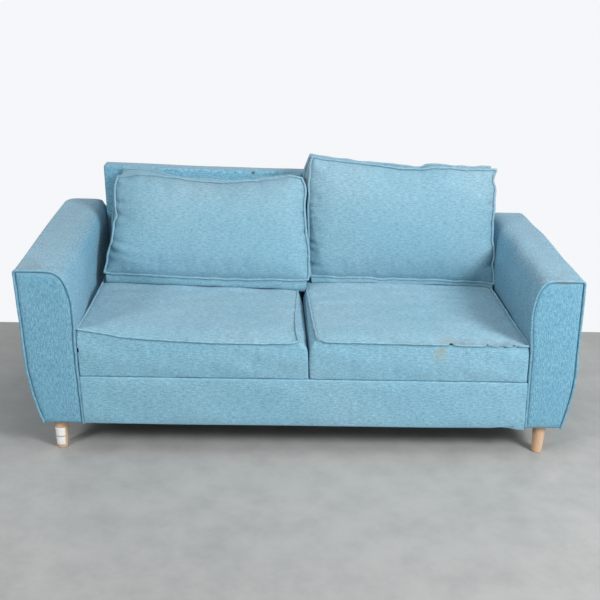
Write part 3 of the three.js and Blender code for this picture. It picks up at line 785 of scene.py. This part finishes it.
def make_border():
    """The padded front border under the seat cushions, with a hem that hangs a little at the right."""
    span = (-BACK_END, BACK_END)
    form = panel_form(span, (BASE + 0.0005, 0.2808), -0.4235, -0.4012, 150, 22, 0.003)
    points = form.points
    x, y, z = points.T
    middle = ramp(0.0, 0.03, z - BASE) * ramp(0.0, 0.03, 0.2812 - z)
    y += ramp(-0.41, -0.42, y) * middle * (0.0016 * ripple(points, 0.22, 2.0) - 0.002)
    hem = ramp(BASE + 0.05, BASE, z)
    z -= hem * 0.006 * ramp(0.64, 0.72, x)
    z += hem * 0.0015 * ripple(points, 0.3, 6.0)
    z += 0.004 * ramp(0.62, 0.66, x) * hem * (1 - ramp(0.68, 0.72, x))
    piece = make_piece("front_border_upholstery", leaned(points), form.faces, form.weave)
    set_tone(piece, lambda p, n: (0.22 + 0.15 * ripple(p, 0.5, 3.0), 0.1 * ramp(0.16, 0.11, p[:, 2])))
    finish_piece(piece, cushion_cloth, ["front_border"])


def make_outside_back():
    """The cloth panel that closes the back."""
    span = (-0.736, 0.736)
    form = panel_form(span, (BASE + 0.0005, OUTSIDE_TOP), 0.4222, 0.425, 90, 50, 0.001)
    points = form.points
    x, y, z = points.T
    inner = ramp(0.0, 0.06, BACK_END - np.abs(x)) * ramp(0.0, 0.06, z - BASE)
    inner *= ramp(0.0, 0.06, OUTSIDE_TOP - z)
    y += ramp(0.4235, 0.425, y) * inner * (0.0025 + 0.0018 * ripple(points, 0.38, 9.0))
    piece = make_piece("outside_back_cloth", leaned(points, back_stay(x)), form.faces, form.weave)
    set_tone(piece, lambda p, n: (0.25 + 0.1 * ripple(p, 0.6, 5.0), 0.12 * ramp(0.2, 0.11, p[:, 2])))
    finish_piece(piece, cover_cloth, ["outside_back_panel"])


def make_dust_cover():
    """The thin lining under the seat, which sags a little between its tacked edges."""
    top = level_grid(np.linspace(-0.735, 0.735, 70), np.linspace(-0.399, 0.42, 40))
    x, y = top[:, :, 0], top[:, :, 1]
    edge = np.minimum(0.735 - np.abs(x), np.minimum(y + 0.399, 0.42 - y))
    uneven = 0.0015 * ripple(top, 0.16, 4.0) * ramp(0.0, 0.05, edge)
    top[:, :, 2] = 0.1114 + (-0.006 * ramp(0.0, 0.25, edge) + uneven)
    form = Boxed(top, top - np.array([0.0, 0.0, 0.0008]))
    piece = make_piece("dust_cover_lining", form.points, form.faces, form.weave)
    finish_piece(piece, lining, ["dust_cover"])


# Cushions

# Seam lines of each cushion in millimetres. Its first panel is the top of a seat cushion or the front of a
# back cushion: the lower left, lower right, upper right and upper left corner, and then the points between
# them on the lower, right, upper and left edge. Its second panel follows in the same way.
SEAMS = {
    "seat_cushion_left": [
        [(-731, -412, 446), (-24, -409, 414), (-10, 250, 426), (-726, 250, 428)],
        [(-660, -416, 436), (-550, -417, 421), (-360, -417, 411), (-184, -417, 408), (-60, -416, 410)],
        [(-30, -330, 422), (-27, -200, 425), (-12, 21, 426)],
        [(-370, 250, 428)],
        [(-727, -330, 440), (-724, -150, 434), (-724, 50, 430)],
        [(-737.4, -419.5, 282.2), (7, -419.5, 282.2), (4, 255, 282.2), (-735, 255, 282.2)],
        [], [], [], [],
    ],
    "seat_cushion_right": [
        [(41, -412, 420), (734, -414, 413), (728, 250, 426), (20, 250, 426)],
        [(80, -416, 417), (250, -417, 416), (467, -417, 414), (600, -417, 412)],
        [(730, -340, 416), (727, -200, 420), (727, 50, 424)],
        [(370, 250, 428)],
        [(36, -330, 424), (32, -207, 426), (28, 14, 427)],
        [(10.5, -419.5, 282.2), (737.4, -419.5, 282.2), (735, 255, 282.2), (8.5, 255, 282.2)],
        [], [], [], [],
    ],
    "back_cushion_left": [
        [(-711, 58, 472), (24, 21, 473), (16, 190, 808), (-660, 234, 787)],
        [(-515, 50, 469), (-272, 36, 468), (-100, 26, 471)],
        [(31, 35, 501), (31, 68, 566), (26, 93, 616), (22, 118, 666), (21, 144, 717), (27, 173, 775)],
        [(-570, 232, 796), (-467, 228, 791), (-390, 224, 780), (-282, 216, 778), (-170, 207, 788),
         (-64, 198, 806), (-25, 194, 815)],
        [(-703, 77, 504), (-699, 93, 533), (-686, 113, 570), (-675, 149, 634), (-665, 161, 656),
         (-670, 178, 686), (-673, 212, 748)],
        [(-715, 185, 436), (6, 150, 436), (10, 320, 790), (-650, 332, 796)],
        [(-350, 170, 436)],
        [(16, 200, 560), (18, 250, 680)],
        [(-534, 334, 788), (-440, 332, 764), (-220, 328, 758), (-60, 324, 784)],
        [(-706, 225, 540), (-690, 270, 660)],
    ],
    "back_cushion_right": [
        [(45, 105, 460), (735, 98, 446), (745, 202, 856), (66, 203, 884)],
        [(241, 105, 458), (457, 103, 457), (572, 101, 455), (668, 100, 450)],
        [(738, 108, 474), (731, 117, 508), (737, 128, 554), (731, 142, 610), (733, 162, 690),
         (740, 185, 780), (732, 193, 818)],
        [(158, 202, 875), (272, 200, 863), (387, 199, 852), (450, 199, 849), (541, 199, 858),
         (640, 200, 855)],
        [(43, 136, 589), (44, 157, 680), (50, 185, 800), (58, 198, 860)],
        [(50, 235, 436), (730, 230, 436), (752, 322, 840), (64, 322, 868)],
        [(400, 235, 436)],
        [(730, 262, 580), (735, 300, 740)],
        [(247, 326, 846), (406, 326, 834), (478, 325, 829), (524, 324, 842), (637, 323, 837)],
        [(40, 262, 580), (36, 298, 740), (40, 312, 810)],
    ],
}


class Cushion:
    """A boxed cushion between the two seams of its CAD node's name."""

    def __init__(self, node, boxing, columns, rows, wave, crown):
        panels = []
        for start in (0, 5):
            (a, b, c, d), lower, right, upper, left = SEAMS[node][start:start + 5]
            lines = [[a, *lower, b], [b, *right, c], [d, *upper, c], [a, *left, d]]
            edges = [spline(line, count) for line, count in zip(lines, (columns, rows) * 2)]
            panels.append(patch(*wavy(edges, wave)))
        front, rear = panels
        first = border_of(front)
        last = border_of(rear)
        steps = (0.02, *np.linspace(0.0, 1.0, 15)[1:-1], 0.98)
        band = np.array([boxing(first, last, t) for t in steps])
        self.node = node
        self.form = Boxed(crowned(front, crown), rear, band)
        self.piece = make_piece(f"{node}_soft", self.form.points, self.form.faces, self.form.weave)


def crowned(panel, height):
    """A panel that stands out from its border like the face of a filled pillow."""
    rows, columns = panel.shape[:2]
    u = np.linspace(0.0, 1.0, columns)[None, :]
    v = np.linspace(0.0, 1.0, rows)[:, None]
    share = (16.0 * u * (1.0 - u) * v * (1.0 - v)) ** 0.45
    across = panel[:, -1].mean(axis=0) - panel[:, 0].mean(axis=0)
    along = panel[-1].mean(axis=0) - panel[0].mean(axis=0)
    return panel + height * share[:, :, None] * unit(np.cross(across, along))


def wavy(edges, amount):
    """Four edges of a panel with small uneven waves, still joined at their ends."""
    made = []
    for edge in edges:
        x, y, z = ripple(edge, 0.075, 2.0), 0.4 * ripple(edge, 0.09, 5.0), ripple(edge, 0.065, 8.0)
        made.append(edge + amount * np.stack([x, y, z], axis=1))
    return made


def seat_boxing(first, last, t):
    """A seat cushion's boxing at a share of its height: out from the seam, then straight down."""
    out = 1.0 - (1.0 - t) ** 6
    loop = first * (1.0 - out) + last * out
    loop[:, 2] = first[:, 2] + (last[:, 2] - first[:, 2]) * t ** 1.3
    return loop


def back_boxing(first, last, t):
    """A back cushion's boxing at a share of its depth, nearly upright over the seat at the bottom."""
    bend = 0.5 * (first + last)
    low = ramp(0.53, 0.47, first[:, 2])
    bend[:, 1] = bend[:, 1] * (1 - low) + (first[:, 1] - 0.04) * low
    bend[:, 2] = bend[:, 2] * (1 - low) + 0.385 * low
    return first * (1 - t) ** 2 + bend * 2 * t * (1 - t) + last * t ** 2


def tree_of(piece):
    """A search tree of a piece's faces."""
    mesh = piece.data
    return BVHTree.FromPolygons([v.co for v in mesh.vertices], [tuple(p.vertices) for p in mesh.polygons])


def lay_on(points, trees):
    """Lifts points that are below the seat cushions onto them."""
    for i in np.flatnonzero(points[:, 2] < 0.5):
        x, y, z = points[i]
        for tree in trees:
            hit = tree.ray_cast(Vector((x, y, 0.6)), Vector((0.0, 0.0, -1.0)))[0]
            if hit is not None:
                z = max(z, hit.z + 0.0012)
        points[i, 2] = max(z, 0.42)
    return points


def seam_path(points, loop, outward):
    """The line of a seam, moved a little out of the cushion."""
    line = points[loop]
    return line + unit(line - line.mean(axis=0)) * outward


# Creases of the back cushions: the seam as points of X and Z, the heights, and their depth, reach and width.
CREASES = {
    "back_cushion_left": [
        ([(-0.709, 0.47), (-0.684, 0.57), (-0.674, 0.65), (-0.668, 0.789)],
         (0.755, 0.705, 0.668, 0.625, 0.58, 0.545), 0.0046, 0.065, 0.008),
        ([(0.018, 0.474), (0.024, 0.608), (0.014, 0.808)],
         (0.76, 0.69, 0.63, 0.56), 0.004, 0.03, 0.008),
    ],
    "back_cushion_right": [
        ([(0.045, 0.45), (0.046, 0.68), (0.052, 0.872)],
         (0.71, 0.69, 0.58, 0.555, 0.5), 0.004, 0.035, 0.008),
        ([(0.733, 0.44), (0.73, 0.65), (0.738, 0.853)],
         (0.8, 0.735, 0.66, 0.59, 0.51), 0.0028, 0.03, 0.009),
    ],
}


def cushion_tone(points, normals):
    """How faded and dirty a cushion is: paler on top and high up, partly real fading and partly a painted
    highlight, and dirty where it was sat on.
    """
    x, y, z = points.T
    top = ramp(0.3, 0.95, normals[:, 2])
    seat = top * (1.0 - ramp(0.45, 0.52, z))
    fade_and_top_highlight = 0.22 + 0.45 * seat + 0.18 * ripple(points, 0.45, 6.0) + 0.3 * ramp(0.6, 0.8, z)
    rubbed = ramp(-0.37, -0.41, y) * ramp(0.22, 0.36, x)
    return fade_and_top_highlight, (0.1 + 0.45 * rubbed) * seat


def pucker(points, normals, seam, heights, depth, reach, width):
    """Short level creases that run from an upright seam into the front of a back cushion."""
    seam_x, seam_z = np.array(seam).T
    z = points[:, 2]
    front = ramp(0.2, 0.6, -normals[:, 1])
    away = np.abs(points[:, 0] - np.interp(z, seam_z, seam_x))
    for number, height in enumerate(heights):
        slope = 0.25 * math.sin(number * 2.3 + 0.5)
        level = z - height - slope * away
        length = reach * (0.75 + 0.35 * math.sin(number * 1.7))
        crease = np.exp(-(level / width) ** 2) - 0.45 * np.exp(-((np.abs(level) - 2.1 * width) / width) ** 2)
        points -= normals * (depth * front * crease * np.exp(-away / length))[:, None]


def sat_in(points, normals):
    """Shallow dents and level wrinkles in the top and the front of a seat cushion."""
    _, y, z = points.T
    top = ramp(0.5, 0.9, normals[:, 2])
    z += top * 0.0022 * ripple(points, 0.26, 3.0)
    behind = ramp(-0.25, 0.05, y)
    z += top * (0.0005 + 0.0011 * behind) * ripple(points * np.array([0.35, 1.0, 1.0]), 0.055, 6.0)
    face = ramp(0.5, 0.9, -normals[:, 1])
    y += face * 0.0012 * ripple(points * np.array([0.3, 1.0, 1.0]), 0.085, 9.0)


def cut_openings(piece, openings):
    """Cuts small openings into a cushion, each given by its middle and its half sizes. Their near-black
    insides are dark lining with painted shade of the hollow.
    """
    form = bmesh.new()
    for middle, half in openings:
        place = Matrix.LocRotScale(Vector(middle), None, Vector(half))
        bmesh.ops.create_uvsphere(form, u_segments=12, v_segments=6, radius=1.0, matrix=place)
    mesh = bpy.data.meshes.new("cutter")
    form.to_mesh(mesh)
    form.free()
    mesh.shade_smooth()
    mesh.materials.append(torn_lining_and_shade)
    cutter = bpy.data.objects.new("cutter", mesh)
    scene.collection.objects.link(cutter)
    opening = piece.modifiers.new("Openings", "BOOLEAN")
    opening.operation = "DIFFERENCE"
    opening.solver = "EXACT"
    opening.material_mode = "TRANSFER"
    opening.object = cutter
    apply_modifiers(piece)
    bpy.data.objects.remove(cutter)


# Holes in the front of the right seat cushion, each as its middle and half sizes: those that break the
# piping, and those under it. Then the slit beside the left arm.
PIPING_HOLES = [
    ((0.597, -0.4155, 0.4165), (0.0075, 0.0075, 0.0048)),
    ((0.64, -0.4155, 0.4165), (0.007, 0.0075, 0.0048)),
    ((0.683, -0.4155, 0.416), (0.0075, 0.0075, 0.0048)),
    ((0.475, -0.4165, 0.415), (0.0075, 0.0065, 0.0022)),
]
SEAM_HOLES = PIPING_HOLES + [
    ((0.655, -0.42, 0.4085), (0.008, 0.006, 0.0024)),
    ((0.705, -0.42, 0.4085), (0.012, 0.006, 0.0018)),
]
SIDE_SLIT = [((-0.734, -0.4215, 0.374), (0.0045, 0.008, 0.009))]


def open_runs(line, kept):
    """The stretches of a line that are kept, without the shortest."""
    cuts = np.flatnonzero(np.diff(kept)) + 1
    runs = zip(np.split(line, cuts), np.split(kept, cuts))
    return [run for run, keep in runs if keep[0] and len(run) > 3]


def torn_piping(line):
    """The right seat cushion's piping, open at the inner front corner and broken at the holes."""
    corner = np.linalg.norm(line[:, :2] - np.array([0.041, -0.412]), axis=1) < 0.01
    kept = ~corner
    front = line[:, 1] < -0.4
    for middle, half in PIPING_HOLES:
        kept &= ~(front & (np.abs(line[:, 0] - middle[0]) < half[0] * 0.9))
    tubes = []
    for run in open_runs(line, kept):
        steps = np.arange(len(run))
        from_end = np.minimum(steps, steps[::-1])
        radius = SEAT_PIPING * np.clip(0.55 + 0.15 * from_end, 0.55, 1.0)
        tubes.append(tube(run, radius, False, (0.0, 0.0, 1.0)))
    return tubes


def make_threads():
    """Loose threads at the open piping end and along the torn seam."""
    chance = np.random.default_rng(11)
    roots = [(0.041, -0.414, 0.42)] * 5
    for (x, _, z), (half, _, _) in SEAM_HOLES:
        roots += [(x + half * 0.8, -0.421, z), (x - half * 0.8, -0.421, z)]
    roots += [(x, -0.419, 0.4175) for x in chance.uniform(0.42, 0.72, 36)]
    tubes = []
    for x, y, z in roots:
        length = chance.uniform(0.004, 0.011)
        side = chance.uniform(-0.9, 0.9)
        droop = chance.uniform(0.4, 1.0)
        t = np.linspace(0.0, 1.0, 7)[:, None]
        way = np.array([side, -0.35, 0.25]) * length
        path = np.array([x, y, z]) + way * t + np.array([0.0, 0.0, -droop * length]) * t ** 2
        tubes.append(tube(path, 0.00045, False, (0.0, 1.0, 0.3), 5))
    turn = np.linspace(0.0, 1.5 * math.pi, 12)
    curl = np.stack([0.047 + 0.006 * np.sin(turn), 0.411 + 0.006 * np.cos(turn)], axis=1)
    tubes.append(tube(stood(curl, -0.4235), 0.0007, False, (0.0, 1.0, 0.0), 5))
    threads = make_tubes("loose_threads", tubes)
    set_tone(threads, lambda p, n: (np.full(len(p), 0.9), np.zeros(len(p))))
    finish_piece(threads, cushion_cloth)


def make_label():
    """A blank paper label in two parts on the front of the left front leg."""
    turns = np.radians(np.linspace(-62.0, 44.0, 22)) - math.pi / 2
    parts = []
    for low, high in ((0.011, 0.041), (0.044, 0.077)):
        heights = np.linspace(low, high, 8)[:, None]
        panels = []
        for lift in (0.0008, 0.0003):
            radius = LEG_FOOT + (LEG_HEAD - LEG_FOOT) * heights / LEG_HEIGHT + lift
            x = LEG_X + radius * np.cos(turns)
            y = LEG_Y + radius * np.sin(turns)
            panels.append(np.stack(np.broadcast_arrays(x, y, heights), axis=2))
        form = Boxed(*panels)
        parts.append((form.points, form.faces, form.weave))
    label = make_piece("blank_label", *joined(parts))
    label.data.materials.append(paper)
    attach(label, "root")


def make_cushions():
    """Four cushions swollen by cloth simulation: the seats, then the back cushions on them."""
    seats = []
    for side, low, high in (("left", -0.7374, 0.0075), ("right", 0.01, 0.7374)):
        cushion = Cushion(f"seat_cushion_{side}", seat_boxing, 74, 68, 0.0008, 0.0)
        form = cushion.form
        rows, columns = form.shape
        band = np.arange(2 * rows * columns, len(form.points)).reshape(-1, len(form.front_loop))
        held = np.concatenate([form.front_loop, form.rear_all, band[:, 0], band[:, columns - 1]])
        caps = np.full(len(form.points), 0.006)
        caps[form.front_all] = 0.008
        points = inflate(cushion.piece, held, 2.0, 0.004, 1.5, caps)
        points = np.clip(points, (low, -0.4245, SEAT_LEVEL - 0.0004), (high, 0.262, np.inf))
        write_points(cushion.piece.data, points)
        seats.append(cushion)
    trees = [tree_of(cushion.piece) for cushion in seats]
    backs = []
    for side, rows, wave, crown in (("left", 50, 0.0016, 0.052), ("right", 54, 0.002, 0.048)):
        cushion = Cushion(f"back_cushion_{side}", back_boxing, 84, rows, wave, crown)
        form = cushion.form
        caps = np.full(len(form.points), 0.007)
        caps[form.front_all] = 0.014
        caps[form.rear_all] = 0.014
        held = np.concatenate([form.front_loop, form.rear_loop])
        points = inflate(cushion.piece, held, 5.0, 0.005, 6.0, caps)
        x, y, z = points.T
        y[:] = np.where(z < 0.81, np.minimum(y, back_face(z) - 0.004), y)
        limit = np.where(z < 0.62, 0.7355, 0.76)
        x[:] = np.clip(x, -limit, limit)
        write_points(cushion.piece.data, lay_on(points, trees))
        backs.append(cushion)
    for cushion in seats + backs:
        finish_cushion(cushion, cushion in backs)


def finish_cushion(cushion, upright):
    """Gives a cushion its piping, creases, openings, tone and material."""
    node, form, piece = cushion.node, cushion.form, cushion.piece
    if upright:
        loops, outward, radius, up = [form.front_loop, form.rear_loop], 0.0048, PIPING, (0.0, 1.0, 0.0)
    else:
        loops, outward, radius, up = [form.front_loop], 0.0026, SEAT_PIPING, (0.0, 0.0, 1.0)
    tubes = []
    lines = []
    for loop in loops:
        line = seam_path(read_points(piece.data), loop, outward)
        line = resample(np.vstack([line, line[:1]]), 3 * len(line) + 1)[:-1]
        lines.append(leaned(line))
        tubes += torn_piping(line) if node == "seat_cushion_right" else [tube(line, radius, True, up)]
    piping = make_tubes(f"{node}_piping", tubes)
    refine(piece)
    points, normals = read_points(piece.data), read_normals(piece.data)
    if upright:
        for crease in CREASES[node]:
            pucker(points, normals, *crease)
    else:
        sat_in(points, normals)
    write_points(piece.data, points)
    if not upright:
        piece.data.materials.append(cushion_cloth)
        cut_openings(piece, SIDE_SLIT if "left" in node else SEAM_HOLES)
    write_points(piece.data, leaned(read_points(piece.data)))
    # Painted shadow along the piped seams.
    set_tone(piece, cushion_tone, lines, 0.0055, 0.62 if upright else 0.75)
    set_tone(piping, cushion_tone)
    cloth = pillow_cloth if upright else cushion_cloth
    finish_piece(piece, cloth, [node])
    finish_piece(piping, cloth)


make_arm("left")
make_arm("right")
make_back()
make_border()
make_outside_back()
make_dust_cover()
make_cushions()
make_threads()
make_label()


# Frame parts that keep their CAD shape

def finish_for(name):
    """The material of a CAD node, by what its name says it is."""
    kinds = {
        "stud": steel, "nut": steel, "bolt": steel, "spring": steel, "leg_": beech, "board": board,
        "deck": felt, "webbing": webbing,
    }
    for word, material in kinds.items():
        if word in name:
            return material
    return pine


for node_name, node_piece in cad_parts.items():
    if not node_piece.hide_render:
        for place in node_piece.material_slots:
            place.material = finish_for(node_name)


# Floor, light and camera

def make_floor():
    """A pale floor that ends at the foot of a white background."""
    points = level_grid(np.linspace(-5.0, 5.0, 41), np.linspace(-6.0, 0.7, 31))
    index = np.arange(points[..., 0].size).reshape(points.shape[:2])
    weave = quads(points).reshape(-1, 3)
    floor = make_piece("floor", points.reshape(-1, 3), quads(index).reshape(-1, 4), weave)
    floor.data.materials.append(concrete)


def make_light(name, place, aim, width, power):
    """A square soft light that looks at a point."""
    data = bpy.data.lights.new(name, "AREA")
    data.size = width
    data.energy = power
    light = bpy.data.objects.new(name, data)
    light.location = place
    light.rotation_euler = (Vector(aim) - Vector(place)).to_track_quat("-Z", "Y").to_euler()
    light.visible_camera = False
    scene.collection.objects.link(light)


def make_world():
    """Soft white surroundings, a little brighter where the camera looks at them."""
    world = bpy.data.worlds.new("studio")
    world.use_nodes = True
    tree = world.node_tree
    ground = tree.nodes["Background"]
    seen = add_node(tree, "ShaderNodeLightPath").outputs["Is Camera Ray"]
    ground.inputs["Color"].default_value = (0.965, 0.975, 1.0, 1.0)
    strength = add_node(tree, "ShaderNodeMapRange", {0: seen, 1: 0.0, 2: 1.0, 3: 0.13, 4: 0.95}).outputs[0]
    tree.links.new(strength, ground.inputs["Strength"])
    scene.world = world


def make_camera():
    """A camera at the photograph's place, for a square image."""
    yaw, pitch, roll = math.radians(3.05), math.radians(20.94), math.radians(2.16)
    turn = Matrix.Rotation(-yaw, 4, "Z") @ Matrix.Rotation(math.pi / 2 - pitch, 4, "X")
    turn = turn @ Matrix.Rotation(roll, 4, "Z")
    data = bpy.data.cameras.new("camera")
    data.sensor_fit = "HORIZONTAL"
    data.lens = 53.9
    camera = bpy.data.objects.new("camera", data)
    camera.matrix_world = Matrix.Translation((-0.172, -3.076, 1.579)) @ turn
    scene.collection.objects.link(camera)
    scene.camera = camera


make_floor()
make_light("overhead", (0.2, -0.9, 3.3), (0.0, 0.0, 0.4), 1.8, 36.0)
make_light("front", (2.6, -4.3, 1.1), (0.1, 0.0, 0.35), 2.2, 42.0)
make_light("right key", (2.69, -2.67, 2.7), (0.2, 0.0, 0.45), 1.1, 160.0)
make_light("left key", (-2.8, -2.67, 2.1), (-0.2, 0.0, 0.45), 0.7, 64.0)
make_light("rear right", (2.6, 3.6, 1.8), (0.0, 0.3, 0.4), 1.6, 60.0)
make_light("rear left", (-2.6, 3.6, 1.8), (0.0, 0.3, 0.4), 1.6, 60.0)
make_world()
make_camera()
scene.view_settings.view_transform = "Standard"
